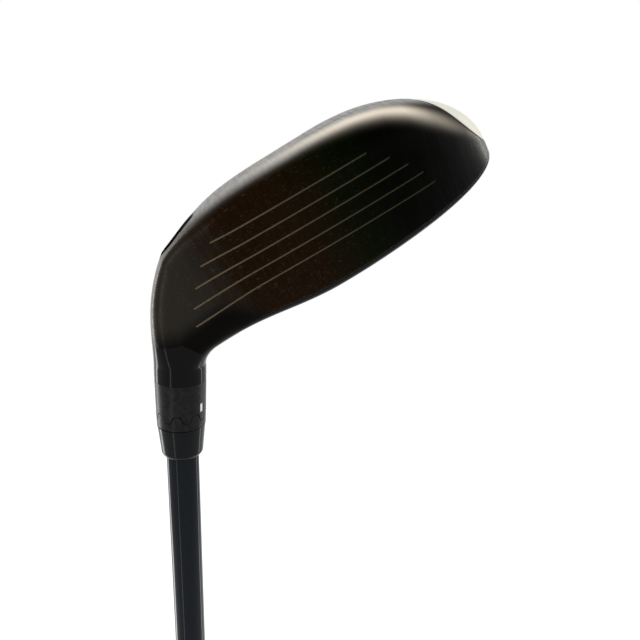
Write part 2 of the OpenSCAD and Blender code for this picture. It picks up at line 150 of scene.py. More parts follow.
def rounded(points, radii, steps=5):
    """Closed outline with its corners replaced by quadratic arcs of the given reach."""
    pts = np.asarray(points, float)
    out = []
    for k, r in enumerate(radii):
        p, a, b = pts[k], pts[k - 1], pts[(k + 1) % len(pts)]
        if r <= 0:
            out.append(p)
            continue
        u, w = (a - p) / np.linalg.norm(a - p), (b - p) / np.linalg.norm(b - p)
        for t in np.linspace(0, 1, steps):
            out.append((1 - t) ** 2 * (p + r * u) + 2 * t * (1 - t) * p + t * t * (p + r * w))
    return np.array(out)


# ---- the head's skin ----

def heel_rear(x):
    """Rear outline from the hosel to the deepest place, a superellipse quarter."""
    t = np.clip((DEEP_X - x) / (DEEP_X - PIVOT[0] + 3), 0, 1)
    return -9 + (REAR_Y + 9) * (1 - t ** 2.2) ** 0.75


def sections(tau):
    """Control polygons (16 points y, z) of the section at each tau.

    tau -1 to 0 runs down the neck, 0 to 1 round the bend, 1 to 2 along the head to the toe.
    A section blends a superellipse (hosel) into a profile of 16 points: face plane at the loft
    with its bulge, top line, crown, rear edge, sole and leading edge.
    """
    tau = np.asarray(tau, float)
    bend, run = np.clip(tau, 0, 1), np.clip(tau - 1, 0, 1)
    isb = tau > 1
    x = PIVOT[0] + (TOE - PIVOT[0]) * np.sin(run * math.pi / 2)
    t = np.clip((x - PIVOT[0]) / (34 - PIVOT[0]), 0, 1)
    xi = np.clip((x - 30) / (TOE - 30), 0, 1)
    w0 = FILLET_R + 2 * NECK_R
    w_out = w0 + (PIVOT[2] - HEEL_Z - w0) * bend ** 2
    zs = SOLE_Z + 0.8 * ease((60 - x) / 35)
    zb = zs + (HEEL_Z - zs) * (1 - t) ** 3.3
    zb = TOE_Z - (TOE_Z - zb) * np.clip(1 - xi ** 3.2, 0, 1) ** 0.6
    zt = TOP_Q + (HEIGHT - TOP_Q) * ease((x - PIVOT[0]) / (28.4 - PIVOT[0]))
    zt = TOE_Z + (zt - TOE_Z) * np.clip(1 - xi ** 1.8, 0, 1) ** 0.43
    zb, zt = np.where(isb, zb, PIVOT[2] - w_out), np.where(isb, zt, TOP_Q)
    h = zt - zb
    fb = np.clip((x - DEEP_X) / (TOE - DEEP_X), 0, 1)
    yb = np.where(x > DEEP_X, TOE_Y + (REAR_Y - TOE_Y) * (1 - fb ** 2.4) ** 0.55, heel_rear(x))
    yb = np.where(isb, yb, -NECK_R + (heel_rear(PIVOT[0]) + NECK_R) * bend ** 2)
    xf = np.clip((x - 35) / (TOE - 35), 0, 1)
    ef = np.sqrt(np.clip(1 - xf ** 5.5, 0, 1))
    bulge = (x - 26.7) ** 2 / (2 * BULGE)

    def face_y(z):
        """Place of the face plane at a height: the loft's slope less the bulge, faded at the toe."""
        return TOE_Y + (FRONT - (z - 2) * math.tan(rad(LOFT)) - bulge - TOE_Y) * ef

    yt, yl, zte = face_y(zt), face_y(zb + 3), zb + 0.36 * h
    dt, dl = yb - yt, yb - yl
    prof = [(face_y(zb + q * h), zb + q * h) for q in (0.30, 0.48, 0.66, 0.84, 0.96)] + [
        (yt - 0.2, zt + 0.2), (yt + 0.07 * dt, zt + 0.02 * h), (yt + 0.38 * dt, zt + 0.05 * h),
        (yt + 0.74 * dt, zt - 0.13 * h), (yt + 0.97 * dt, zte + 0.16 * h),
        (yb + 0.02 * dt, zte - 0.05 * h), (yl + 0.80 * dl, zb + 0.07 * h),
        (yl + 0.48 * dl, zb - 0.01 * h), (yl + 0.22 * dl, zb - 0.01 * h),
        (yl - 1.6 * ef, zb + 0.01 * h), (yl + 0.4 * ef, zb + 0.11 * h)]
    prof = np.stack([np.stack(np.broadcast_arrays(*q), -1) for q in prof], 1)
    th = (np.arange(16) - 1.5) * math.pi / 8
    cc = 3 / (2 + math.cos(math.pi / 8))
    ex = (2 / (2 + 2.4 * bend))[:, None]
    ry = (NECK_R * (1 + 0.06 * bend))[:, None]
    c, s = np.cos(th)[None], np.sin(th)[None]
    oval = np.stack([cc * ry * np.sign(c) * np.abs(c) ** ex,
                     ((zt + zb) / 2)[:, None] + cc * (h / 2)[:, None] * np.sign(s) * np.abs(s) ** ex], -1)
    bw = ease((bend * 9 + (x - PIVOT[0]) - 4) / 27)[:, None, None]
    return x, rad(LIE) * (1 - bend), np.clip(-tau, 0, 1) * (S_A - S_B), oval * (1 - bw) + prof * bw, isb


def skin_at(tau, v):
    """Points of the skin, address frame: uniform closed cubic B-spline of the section at v (0 to 16)."""
    x, phi, up, ctrl, isb = sections(tau)
    i = np.floor(v).astype(int)
    t = v - i
    basis = ((1 - t) ** 3 / 6, (3 * t ** 3 - 6 * t ** 2 + 4) / 6,
             (-3 * t ** 3 + 3 * t ** 2 + 3 * t + 1) / 6, t ** 3 / 6)
    rows = np.arange(len(x))[:, None]
    yz = sum(b[..., None] * ctrl[rows, (i + k + 15) % 16] for k, b in enumerate(basis))
    y, z = yz[..., 0], yz[..., 1]
    w = PIVOT[2] - z
    px = np.where(isb[:, None], x[:, None] + 0 * w, PIVOT[0] - w * np.sin(phi)[:, None])
    pz = np.where(isb[:, None], z, PIVOT[2] - w * np.cos(phi)[:, None])
    return np.stack([px + AXIS[0] * up[:, None], y, pz + AXIS[2] * up[:, None]], -1)


def seam_v(tau):
    """Seam between sole and face cup: forward of the bolt port at the heel, rising at the toe."""
    x = np.where(tau > 1, sections(tau)[0], 0)
    return 13 + 1.8 * (1 - ease((x - 5) / 18)) + 2.85 * (np.maximum(x + 18.9 - TOE, 0) / 12) ** 0.75


def skin_normals(tau, v):
    """Outward unit normals: cross product of the central differences in v and in tau."""
    e = 5e-4
    du = skin_at(np.minimum(tau + e, 1.99995), v) - skin_at(np.maximum(tau - e, -1), v)
    dv = skin_at(tau, v + 0.01) - skin_at(tau, v - 0.01)
    n = np.cross(dv, du)
    return n / np.maximum(np.linalg.norm(n, axis=-1, keepdims=True), 1e-12)


def spread(n):
    """n fractions from 0 up to but not at 1, close together at both ends for the rounded edges."""
    if n < 12:
        return np.arange(n) / n
    near = np.array([0.0012, 0.0026, 0.0044, 0.008])
    return np.concatenate([[0], near, np.linspace(0.016, 0.984, n - 9), 1 - near[::-1]])


def level_columns(tau, edge):
    """Columns of the face zone: even ones from the seam round the leading edge, then level ones.

    Level columns keep one height on every row, two or more beside each side of a score line, so the
    line's edges run along the grid; near the ends of the face they close up inside its height.
    """
    low = np.maximum(15.0, edge[:, 0] + 0.35)
    first = edge + (low[:, None] - edge) * spread(40)[None]
    half = LINE_W / 2 * math.cos(rad(LOFT))
    beside = half * np.array([-2.2, -1.6, -1.22, -0.78, -0.3, 0.3, 0.78, 1.22, 1.6, 2.2])
    between = np.linspace(0, 1, 11)[1:-1]
    z = [np.linspace(2, LINE_Z[-1] - 3 * half, 16)]
    for k in range(LINES)[::-1]:
        z.append(LINE_Z[k] + beside)
        if k:
            z.append(LINE_Z[k] + 2.2 * half + (LINE_Z[k - 1] - LINE_Z[k] - 4.4 * half) * between)
    z.append(np.linspace(LINE_Z[0] + 3 * half, HEIGHT, 26)[:-1])
    z = np.concatenate(z)
    fine = np.linspace(0, 1, 241)
    rows = []
    for q in range(len(tau)):
        vv = low[q] + (V_TOP + 16 - low[q]) * fine
        h = np.maximum.accumulate(skin_at(tau[q:q + 1], vv[None] % 16)[0, :, 2] + 1e-6 * fine)
        n = len(z)
        step = min(0.02, (h[-1] - h[0]) / (n + 4) / 2)
        t = np.minimum(np.maximum(z, h[0] + step * (np.arange(n) + 1)), h[-1] - step * (n - np.arange(n)))
        rows.append(np.interp(t, h, vv))
    level = np.array(rows)
    near = V_TOP + 16 - np.array([0.03, 0.016, 0.008, 0.003])
    level = np.minimum(level, V_TOP + 16 - 0.04 - 0.002 * np.arange(level.shape[1])[::-1])
    return np.concatenate([first, low[:, None], level, near[None] + 0 * edge], 1)


def skin_piece(name, tau, cols, keep, outer, inner):
    """Closed shell cut from the skin: outer surface at depth outer, inner at depth inner.

    tau are the rows, cols the column counts of crown, sole and face zones, keep(i, j) says which
    cells belong to the piece, and the last row closes on the toe point.
    """
    edge = seam_v(tau)[:, None]
    nc, ns, nf = cols
    a, b = spread(nc), spread(ns)
    face = level_columns(tau, edge) if nf is None else edge + (V_TOP + 16 - edge) * spread(nf)[None]
    v = np.concatenate([V_TOP + (V_REAR - V_TOP) * a[None] + 0 * edge,
                        V_REAR + (edge - V_REAR) * b[None], face], 1) % 16
    skin, nrm = skin_at(tau, v), skin_normals(tau, v)
    n, m = v.shape
    mask = np.zeros((n, m), bool)
    i, j = np.meshgrid(np.arange(n), np.arange(m), indexing="ij")
    mask[keep(i, j, tau, nc, ns)] = True
    shrink = np.clip((2 - tau) / 0.08, 0, 1)[:, None]
    out_d, in_d = outer(skin, v, tau, nc, ns) * shrink, inner(skin) * shrink
    tip = np.array([TOE, TOE_Y, TOE_Z])
    verts = np.concatenate([(skin - out_d[..., None] * nrm).reshape(-1, 3),
                            (skin - in_d[..., None] * nrm).reshape(-1, 3),
                            [tip, tip - [BODY_T * shrink[-1, 0], 0, 0]]])
    half = n * m
    ii, jj = np.nonzero(mask)

    def at(layer, r, q):
        """Vertex index of row r, column q in the outer (0) or inner (1) layer."""
        return np.where(r >= n, 2 * half + layer, layer * half + np.minimum(r, n - 1) * m + q % m)

    mid = ii < n - 1
    r, q = ii[mid], jj[mid]
    quads = [np.stack([at(0, r, q), at(0, r, q + 1), at(0, r + 1, q + 1), at(0, r + 1, q)], 1),
             np.stack([at(1, r, q + 1), at(1, r, q), at(1, r + 1, q), at(1, r + 1, q + 1)], 1)]
    r, q = ii[~mid], jj[~mid]
    tris = [np.stack([at(0, r, q), at(0, r, q + 1), at(0, r + 1, q)], 1),
            np.stack([at(1, r, q + 1), at(1, r, q), at(1, r + 1, q)], 1)]

    def on(r, q):
        """Whether the cell belongs to the piece."""
        return (r >= 0) & (r < n) & mask[np.clip(r, 0, n - 1), q % m]

    for dr, dq in ((0, -1), (0, 1), (-1, 0), (1, 0)):
        rim = ~on(ii + dr, jj + dq) & ~((dr == 1) & (ii == n - 1))
        r, q = ii[rim], jj[rim]
        if dq:
            q = q + (dq > 0)
            f = [at(0, r + 1, q), at(1, r + 1, q), at(1, r, q), at(0, r, q)]
        else:
            r = r + (dr > 0)
            f = [at(0, r, q), at(1, r, q), at(1, r, q + 1), at(0, r, q + 1)]
        quads.append(np.stack(f if dq < 0 or dr < 0 else f[::-1], 1))
    obj, used = new_mesh(name, from_address(verts), quads + tris)
    vector_attribute(obj, "address", verts[used])
    return obj, used, verts, v


def seam_distance(skin, column):
    """Distance across the skin from a seam column, measured along each row, both ways."""
    step = np.linalg.norm(np.diff(np.concatenate([skin, skin[:, :1]], 1), axis=1), axis=-1)
    fwd = np.concatenate([np.zeros((len(skin), 1)), np.cumsum(np.roll(step, -column, 1), 1)[:, :-1]], 1)
    back = np.cumsum(np.roll(step, -column, 1)[:, ::-1], 1)[:, ::-1]
    return np.roll(np.minimum(fwd, back), column, 1)


def edge_round(dist, r):
    """Depth of a rounded edge of radius r at a distance from the seam."""
    t = np.clip(dist / r, 0, 1)
    return r * (1 - np.sqrt(np.clip(1 - (1 - t) ** 2, 0, 1))) * 0.8


def row_list(*spans):
    """Rows as evenly spaced runs (start, end, count)."""
    return np.concatenate([np.linspace(a, b, n, endpoint=False) for a, b, n in spans])


def row_of(x):
    """Row parameter tau of the section at a distance x toward the toe."""
    return 1 + np.arcsin((np.asarray(x) - PIVOT[0]) / (TOE - PIVOT[0])) * 2 / math.pi


K = np.arange(LINES)
LINE_Z = 29.2 - 4.5 * K
LINE_SPAN = 76.7 - 3.2 * K - 1.1 * K * K
LINE_MID = 26.2 - 0.2 * K + 0.045 * K * K


def score_depth(skin, soft=0.06):
    """Depth of the score lines: five bands of constant height, each over its own span."""
    x, z = skin[..., 0, None], skin[..., 2, None]
    half = LINE_W / 2 * math.cos(rad(LOFT))
    across = ease((half + soft - np.abs(z - LINE_Z)) / (2 * soft))
    along = ease((LINE_SPAN / 2 + 0.1 - np.abs(x - LINE_MID)) / 0.2)
    return LINE_D * (across * along).max(-1)


def is_cup(i, j, tau, nc, ns):
    """Cells of the face cup: the face columns between its two end rows."""
    return (tau[i] >= TAU_CUP - 1e-6) & (tau[i] < TAU_CUP_END - 1e-6) & (j >= nc + ns)


def is_crown(i, j, tau, nc, ns):
    """Cells of the crown: the crown columns from its first row to the toe."""
    return (tau[i] >= TAU_CROWN - 1e-6) & (j < nc)


def body_cells(i, j, tau, nc, ns):
    """Cells that neither the cup nor the crown takes."""
    return ~is_cup(i, j, tau, nc, ns) & ~is_crown(i, j, tau, nc, ns)


SEAM_R = 0.22
TAU_ROUND = 1.3


def body_outer(skin, v, tau, nc, ns):
    """Depth of the body's outside: both of its seams have a rounded edge."""
    d = edge_round(seam_distance(skin, nc), SEAM_R) * (tau >= TAU_CROWN)[:, None]
    beside_cup = ((tau >= TAU_ROUND) & (tau < TAU_CUP_END))[:, None]
    return d + edge_round(seam_distance(skin, nc + ns), SEAM_R) * beside_cup


def cup_outer(skin, v, tau, nc, ns):
    """Depth of the face cup's outside: rounded seam edges and the score lines."""
    d = edge_round(seam_distance(skin, 0), SEAM_R) * (tau >= TAU_CROWN)[:, None]
    d = d + edge_round(seam_distance(skin, nc + ns), SEAM_R) * (tau >= TAU_ROUND)[:, None]
    face = (v > 14.6) | (v < 5)
    return d + score_depth(skin) * face


def crown_outer(skin, v, tau, nc, ns):
    """Depth of the crown's outside: rounded along both seams and 0.04 mm below its neighbours."""
    return (edge_round(seam_distance(skin, 0), SEAM_R * 1.6)
            + edge_round(seam_distance(skin, nc), SEAM_R) + 0.04)


def make_head():
    """The three shells of the head; grid rows end on the toe point, and the ports are cut last."""
    thin = lambda s: np.full(s.shape[:2], BODY_T)
    rows = row_list((-1, 0, 6), (0, 0.5, 18), (0.5, 1, 20), (1, TAU_CROWN, 4), (TAU_CROWN, TAU_CUP_END, 70),
                    (TAU_CUP_END, 1.97, 14), (1.97, 1.996, 8))
    body, used, verts, v = skin_piece("head_shell", rows, (60, 64, 72), body_cells, body_outer, thin)
    paint_marks(body, used, verts, v)
    body = with_ports(body)
    rows = row_list((TAU_CUP, 1, 24), (1, TAU_CUP_END, 150))
    ends = np.concatenate([LINE_MID - LINE_SPAN / 2, LINE_MID + LINE_SPAN / 2])
    ends = np.concatenate([ends - 0.11, ends + 0.11])
    ends = row_of(ends[ends > PIVOT[0]])
    rows = np.concatenate([np.unique(np.concatenate([rows, ends])), [TAU_CUP_END, TAU_CUP_END + 0.004]])
    cup, used, verts, v = skin_piece("striking_face", rows, (2, 2, None), is_cup, cup_outer,
                                     lambda s: BODY_T + (FACE_T - BODY_T) * ease((s[..., 0] - 6) / 16))
    float_attribute(cup, "scored", score_depth(verts, 0.1)[used] / LINE_D)
    painted_ridge_highlight(cup, used, verts, v)
    float_attribute(cup, "neck", neck_height(verts)[used])
    rows = row_list((TAU_CROWN, 1.9, 100), (1.9, 1.996, 24))
    crown, *_ = skin_piece("crown_shell", rows, (110, 2, 2), is_crown, crown_outer,
                           lambda s: np.full(s.shape[:2], CROWN_T))
    for piece, node in ((body, "head_body"), (cup, "face_cup"), (crown, "crown")):
        place(piece, "head", node)
    return body, cup, crown


def painted_ridge_highlight(obj, used, verts, v):
    """Two attributes for the finishes.

    First a painted highlight along the rounded leading edge, a bell across v whose centre and strength vary
    along x.  Then seam: the dark joint line beside the skirt at the toe.
    """
    x = verts[:, 0]
    vv = np.concatenate([v.ravel(), v.ravel(), [14, 14]])
    vv = np.where(vv < V_REAR - 2, vv + 16, vv)
    # painted highlight: where along the leading edge the bright band sits and how strong it is
    centre = np.interp(x, [0, 21, 35, 50, 57, 63, 72, 80], [13.3, 13.3, 13.4, 13.8, 14.1, 14.5, 15.4, 16.2])
    strength = np.interp(x, [0, 10, 21, 35, 50, 63, 70, 78], [0, 0.1, 0.25, 0.6, 1, 1, 0.4, 0.1])
    float_attribute(obj, "painted_ridge_highlight", (strength * np.exp(-((vv - centre) / 0.42) ** 2))[used])
    t = np.arcsin(np.clip((x - PIVOT[0]) / (TOE - PIVOT[0]), 0, 1)) * 2 / math.pi
    line = np.clip(1.4 - np.abs(vv - seam_v(1 + t)) / 0.11, 0, 1) * np.clip((x - 58) / 4, 0, 1)
    float_attribute(obj, "seam", line[used])


def place(piece, body, node):
    """Sharp edges marked, piece on its body, in place of its node."""
    piece.data.set_sharp_from_angle(angle=rad(40))
    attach(piece, body)
    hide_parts(node)


def port_cutter(name, radius, z0, z1, to_part):
    """A plain cylinder, 96 sided: circle of the radius swept from z0 to z1."""
    a = np.arange(96) * 2 * math.pi / 96
    ring = np.stack([radius * np.cos(a), radius * np.sin(a)], 1)
    p = np.concatenate([np.c_[ring, np.full(96, z0)], np.c_[ring, np.full(96, z1)],
                        [[0, 0, z0], [0, 0, z1]]])
    i = np.arange(96)
    k = (i + 1) % 96
    wall = np.stack([i, k, k + 96, i + 96], 1)
    ends = [np.stack([k, i, 0 * i + 192], 1), np.stack([i + 96, k + 96, 0 * i + 193], 1)]
    obj, _ = new_mesh(name, to_part(p), [wall, *ends])
    return obj


def from_weight(p):
    """Weight port frame (its axis into the head) to part frame."""
    c, s = math.cos(rad(-10)), math.sin(rad(-10))
    turn = np.array([[1, 0, 0], [0, c, -s], [0, s, c]])
    return from_address(p @ turn.T + [36, -24, 3.55])


def with_ports(body):
    """The shell less the bolt port and the weight port; new corners take their nearest neighbour's paint."""
    float_attribute(body, "known", np.ones(len(body.data.vertices)))
    cutters = [port_cutter("cut_bolt", 4.9, 36, 66, from_hosel),
               port_cutter("cut_weight", 7.6, -4, 4, from_weight)]
    for c in cutters:
        m = body.modifiers.new(c.name, "BOOLEAN")
        m.operation, m.solver, m.object = "DIFFERENCE", "EXACT", c
    mesh = bpy.data.meshes.new_from_object(body.evaluated_get(bpy.context.evaluated_depsgraph_get()))
    body.modifiers.clear()
    body.data = mesh
    for c in cutters:
        bpy.data.objects.remove(c)
    n = len(mesh.vertices)
    co = np.empty(n * 3, np.float32)
    mesh.vertices.foreach_get("co", co)
    co = co.reshape(n, 3)
    known = np.empty(n, np.float32)
    mesh.attributes["known"].data.foreach_get("value", known)
    new = np.nonzero(known < 0.5)[0]
    old = np.nonzero(known >= 0.5)[0]
    near = old[np.concatenate([((co[old][None] - co[c][:, None]) ** 2).sum(-1).argmin(1)
                               for c in np.array_split(new, max(1, len(new) // 40))])] if len(new) else new
    for key in ("neck", "brushed", "painted_ridge_highlight", "seam"):
        values = np.empty(n, np.float32)
        mesh.attributes[key].data.foreach_get("value", values)
        values[new] = values[near]
        mesh.attributes[key].data.foreach_set("value", values)
    mesh.attributes.remove(mesh.attributes["known"])
    return body


def neck_height(p):
    """Distance above the mask line of the neck paint, which slants down toward the crown side."""
    s = p @ AXIS
    across = (p - s[:, None] * AXIS) @ ACROSS
    dip = 0.6 * np.clip(across, 0, 12) * ease((14 - p[:, 0]) / 18)
    return s - (36.8 - 0.14 * np.clip(across, -9, 9) - dip)


def paint_marks(obj, used, verts, v):
    """Attributes in millimetres: neck, distance above the mask line of the neck paint; brushed,
    how far a point lies inside the brushed band that carries the face's finish on to the body."""
    p = verts
    neck = neck_height(p)
    vv = np.concatenate([v.ravel(), v.ravel(), [14, 14]])
    x = p[:, 0]
    roof = (vv > V_TOP + 0.001) & (vv < V_REAR - 0.001) & (x < 5)
    neck = np.where(roof, 1, neck)
    vv = np.where(vv < V_REAR - 2, vv + 16, vv)
    band = 12.2 - np.clip((x - 38) / 20, 0, 1) * 0.4
    toe_cut = np.clip((x - 67) / 2.5, 0, 1)
    brushed = (vv - band) * 6 * (1 - toe_cut) - 4 * toe_cut
    brushed = np.where(x > 84.2, np.clip((vv - 16.5) * 8, -1, 1), brushed)
    painted_ridge_highlight(obj, used, verts, v)
    float_attribute(obj, "neck", neck[used])
    float_attribute(obj, "brushed", brushed[used])


# ---- hosel stack ----
WAVE_MID, WAVE_R = 3.6, 7.05
WAVE_TOP, WAVE_BOT = WAVE_MID + TOOTH_H / 2, WAVE_MID - TOOTH_H / 2
BORE_R = SLEEVE_R + RUN_GAP
RING_TURNS = 720


def tooth(theta, shift):
    """1 in a notch of the toothed edge and 0 between notches, with eased flanks, at angle theta."""
    step = 2 * math.pi / TEETH
    d = (theta - math.pi / 2 - rad(TOOTH_TURN) - shift + step / 2) % step - step / 2
    half = WAVE_R * math.sin(math.pi / 2 / TEETH) + TOOTH_GAP / 2
    return ease((half + 0.7 - np.abs(WAVE_R * np.sin(d))) / 1.4)


def ring_grid(name, r, z, shift_x=None, to_part=from_hosel):
    """Closed ring surface: at each angle the outline (r, z) gives (r cos a + shift, r sin a, z)."""
    n, m = r.shape
    a = (np.arange(n) * 2 * math.pi / n)[:, None]
    p = np.stack([r * np.cos(a) + (0 if shift_x is None else shift_x), r * np.sin(a), z], -1).reshape(-1, 3)
    i, j = np.meshgrid(np.arange(n), np.arange(m), indexing="ij")
    i, j = i.ravel(), j.ravel()
    k, l = (i + 1) % n, (j + 1) % m
    obj, _ = new_mesh(name, to_part(p), [np.stack([i * m + j, k * m + j, k * m + l, i * m + l], 1)])
    return obj


def corner(r0, z0, r1, z1, n=5):
    """Quarter ellipse from (r0, z0 side) to (r1, z1 side), n points."""
    t = np.linspace(0, math.pi / 2, n)
    return r0 + (r1 - r0) * np.sin(t), z0 + (z1 - z0) * (1 - np.cos(t))


def make_index_ring():
    """Ring between collar and neck: toothed upper edge, slightly conical wall, one index slot."""
    th = (np.arange(RING_TURNS) * 2 * math.pi / RING_TURNS)[:, None]
    top = WAVE_BOT + TOOTH_H * tooth(th, math.pi / TEETH)
    e = 0.14
    zs = np.concatenate([[4.96, 5.04, 5.12], np.linspace(5.4, 7.2, 8), [7.36, 7.44, 7.52, 9.4, 11.5, 13]])
    frac = np.linspace(0.02, 0.98, 4)
    cr, cz = corner(-e, 0, 0, e)
    z = np.concatenate([0 * th + top, top + cz[None], top + e + (4.93 - top - e) * frac[None],
                        0 * th + zs[None], 0 * th + RING_LEN - 0.08, 0 * th + RING_LEN, 0 * th + RING_LEN,
                        top + 0.5], 1)
    wall = RING_R1 + (NECK_R - RING_R1) * np.clip((z - WAVE_BOT) / (RING_LEN - WAVE_BOT), 0, 1)
    r = wall.copy()
    r[:, 0] = BORE_R
    r[:, 1:6] += cr[None]
    r[:, -3] -= 0.08
    r[:, -2] = BORE_R
    r[:, -1] = BORE_R
    d = (th + rad(36) + math.pi) % (2 * math.pi) - math.pi
    slot = ease((0.5 - np.abs(RING_R1 * np.sin(d))) / 0.1 + 0.5) * (np.abs(d) < 1)
    deep = slot * ease((z - 4.98) / 0.1) * ease((7.5 - z) / 0.1)
    outer = (np.arange(z.shape[1]) > 5) & (np.arange(z.shape[1]) < z.shape[1] - 3)
    r = np.where(outer[None], r - 0.15 * deep, r)
    obj = ring_grid("index_collar", r, z)
    float_attribute(obj, "tick", (deep * outer[None]).ravel())
    place(obj, "head", "index_ring")
    return obj


def make_sleeve():
    """Toothed collar and the sleeve inside the hosel, bored along the tilted shaft axis."""
    th = (np.arange(RING_TURNS) * 2 * math.pi / RING_TURNS)[:, None]
    low = WAVE_TOP - TOOTH_GAP - TOOTH_H * tooth(th, 0)
    e = 0.14
    cr, cz = corner(0, -e, -e, 0)
    one = 0 * th
    wall = lambda z: RING_R0 + (RING_R1 - RING_R0) * np.clip(z / WAVE_TOP, 0, 1)
    # outer wall up, toothed edge, sleeve, bolt hole, bore back down
    zs = [one, one + 0.08, one + 0.4] + [0.4 + (low - e - 0.4) * f for f in (0.3, 0.6, 1)]
    rs = [one + RING_R0 - 0.08, one + RING_R0, wall(zs[2])] + [wall(q) for q in zs[3:]]
    for k in range(1, 5):
        zs.append(low + cz[k])
        rs.append(wall(low) + cr[k])
    zs += [low, one + 12, one + 31.6, one + 32, one + 32, one + 24.8, one + 23.7, one + 12, one]
    rs += [one + SLEEVE_R, one + SLEEVE_R, one + SLEEVE_R, one + SLEEVE_R - 0.4, one + 2.54, one + 2.54,
           one + TIP_R + 0.04, one + TIP_R + 0.04, one + TIP_R + 0.04]
    z, r = np.concatenate(zs, 1), np.concatenate(rs, 1)
    shift = np.zeros_like(z)
    shift[:, -3:] = -z[:, -3:] * math.tan(rad(BORE_TILT))
    obj = ring_grid("hosel_sleeve", r, z, shift)
    place(obj, "shaft_side", "sleeve")
    return obj


def make_ferrule():
    """Turned ferrule: rounded nose at the shaft, straight taper up to the collar."""
    q = np.linspace(0, math.pi / 2, 14)
    z0 = Z_C - 0.14 - FERRULE_LEN
    nose = [(TIP_R + 0.25 + 1.15 * math.sin(a), z0 + 1.6 * (1 - math.cos(a))) for a in q]
    end = np.array([RING_R0 - 0.03, Z_C - 0.14])
    side = [tuple(np.array(nose[-1]) + (end - [0.06, 0.06] - nose[-1]) * t) for t in np.linspace(0.08, 1, 12)]
    rim = [(end[0], end[1] - 0.02), (end[0] - 0.08, end[1]), (TIP_R + GLUE_GAP, end[1])]
    line = [(TIP_R + GLUE_GAP, z0)] + nose + side + rim
    obj = turned("ferrule_cap", line, 160)
    place(obj, "shaft_side", "ferrule")
    return obj


def make_shaft():
    """Turned tube: parallel tip, straight taper, parallel butt, 1.3 mm wall at the butt."""
    tip0, top = Z_C - TIP_LEN, Z_C + 23.4
    zs = np.concatenate([[3, 3.2, 60], np.linspace(90, tip0 - 20, 40), [tip0, tip0 + 30, top - 0.6]])
    outer = [(BUTT_R - (BUTT_R - TIP_R) * min(max((z - BUTT_LEN) / (tip0 - BUTT_LEN), 0), 1), z) for z in zs]
    outer[0] = (BUTT_R - 0.2, 3)
    bore = BUTT_R - SHAFT_WALL
    line = outer + [(TIP_R - 0.4, top), (2.8, top), (2.8, tip0), (bore, BUTT_LEN), (bore, 3)]
    obj = turned("shaft_tube", line, 128)
    place(obj, "shaft_side", "shaft")
    return obj


def make_grip():
    """Moulded grip: tapering wall, spiral grooves both ways that cross into diamonds, rings at the mouth."""
    n, m = 144, 560
    th = (np.arange(n) * 2 * math.pi / n)[:, None]
    z = np.linspace(CAP_T + 0.02, GRIP_LEN - 20, m)[None] + 0 * th
    ring_edges = np.array([-0.05, 0.02, 0.25, 1.05, 1.28, 1.4])
    rings = np.concatenate([GRIP_LEN - 19 + 3 * k + ring_edges for k in range(6)])
    z = np.concatenate([z, 0 * th + rings, 0 * th + GRIP_LEN - 1, 0 * th + GRIP_LEN - 0.5], 1)
    t = (z - CAP_T) / (GRIP_LEN - CAP_T)
    r = MOUTH_R + (GRIP_R - MOUTH_R) * np.clip(1 - t, 0, 1) ** 1.35 + 0.25 * np.sin(math.pi * t)
    along = z * 2 * math.pi / 52
    groove = lambda s: ease(1 - np.abs(((12 * (th + s * along)) / (2 * math.pi) * 2) % 2 - 1) / 0.34)
    cut = np.maximum(groove(1), groove(-1))
    from_band = np.abs(((z - 34) % 52) - 26) - 3.2
    band = (from_band > 0) & (z > 12) & (z < GRIP_LEN - 26)
    soft = ease((z - 12) / 4) * ease((GRIP_LEN - 26 - z) / 4) * ease(from_band / 1.2)
    cut = cut * soft * band
    k = np.arange(z.shape[1])
    ring_cut = np.zeros(z.shape[1])
    for q in range(6):
        ring_cut[m + 6 * q + 2: m + 6 * q + 4] = 1
    r = r - 0.28 * cut - 0.33 * ring_cut[None]
    r[:, -1] -= 0.25
    mouth = BUTT_R - (BUTT_R - TIP_R) * (GRIP_LEN - BUTT_LEN) / (Z_C - TIP_LEN - BUTT_LEN) + GLUE_GAP
    tail_z = np.array([GRIP_LEN, GRIP_LEN, GRIP_LEN - 13.5, GRIP_LEN - 13.6, 60, CAP_T + 0.02])
    tail_r = np.array([MOUTH_R - 0.6, mouth, mouth + 0.06, mouth + 0.2, BUTT_R + 0.19, BUTT_R + 0.19])
    z = np.concatenate([z, 0 * th + tail_z], 1)
    r = np.concatenate([r, 0 * th + tail_r], 1)
    obj = ring_grid("grip_sleeve", r, z, to_part=lambda p: p * MM)
    depth = np.concatenate([np.maximum(cut, ring_cut[None]), 0 * th + 0 * tail_z], 1)
    float_attribute(obj, "cut", depth.ravel())
    place(obj, "shaft_side", "grip")
    return obj


def make_grip_cap():
    """Turned cap: rounded rim, a shallow ring in the end, the plug inside the shaft and the vent hole."""
    line = rounded([(1.3, 0), (7.6, 0), (7.9, 0.3), (8.7, 0.3), (9, 0), (GRIP_R - 1.2, 0), (GRIP_R, 1.2),
                    (GRIP_R, CAP_T), (BUTT_R - 1.34, CAP_T), (BUTT_R - 1.34, 9), (BUTT_R - 1.9, 9.6),
                    (3, 9.6), (3, 4), (1.3, 4)],
                   [0.25, 0.1, 0.1, 0.1, 0.1, 0.5, 0.5, 0, 0, 0.2, 0.2, 0, 0, 0])
    obj = turned("butt_cap_disc", line, 160)
    place(obj, "shaft_side", "grip_cap")
    return obj


# ---- finishes ----
LOW_SHEEN = 0.1

